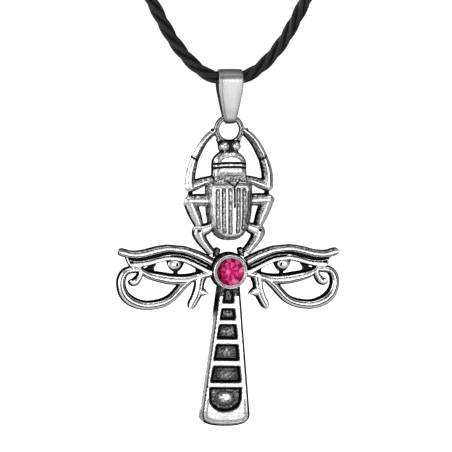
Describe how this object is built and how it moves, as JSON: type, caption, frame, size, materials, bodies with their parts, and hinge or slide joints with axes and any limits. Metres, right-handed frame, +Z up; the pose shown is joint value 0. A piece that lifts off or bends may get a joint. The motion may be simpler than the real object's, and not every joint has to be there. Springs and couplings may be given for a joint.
{
  "type": "ankh pendant on a braided cord",
  "caption": "Cast ankh pendant with a scarab loop, eye-shaped arms and a round red stone, hung by a folded bail on a looped braided cord with a barrel clasp.",
  "frame": {"origin": "nape rest, on the underside of the clasp's middle, where the loop hangs", "axes": "+Z up along the hanging pendant, +X to the viewer's right along the eye arms, the pendant faces -Y"},
  "size_m": [0.1348, 0.0061, 0.2288],
  "materials": {
    "antique_metal": "antiqued silver tone, polished high spots, black recesses",
    "red_stone": "faceted, clear",
    "satin_metal": "satin",
    "black_cord": "waxed braid",
    "clasp_metal": "plain, satin"
  },
  "bodies": {
    "necklace": {"neck_cord": "black_cord", "clasp": "clasp_metal"},
    "bail": {"bail": "satin_metal"},
    "pendant": {"ankh": "antique_metal", "stone": "red_stone"}
  },
  "joints": [
    {"name": "bail_swing", "type": "hinge", "parent": "necklace", "child": "bail", "pos_m": [0, 0, -0.153], "axis": [1, 0, 0], "range_deg": [-60, 60]},
    {"name": "pendant_swing", "type": "hinge", "parent": "bail", "child": "pendant", "pos_m": [0, 0, -0.16055], "axis": [1, 0, 0], "range_deg": [-45, 45]}
  ]
}
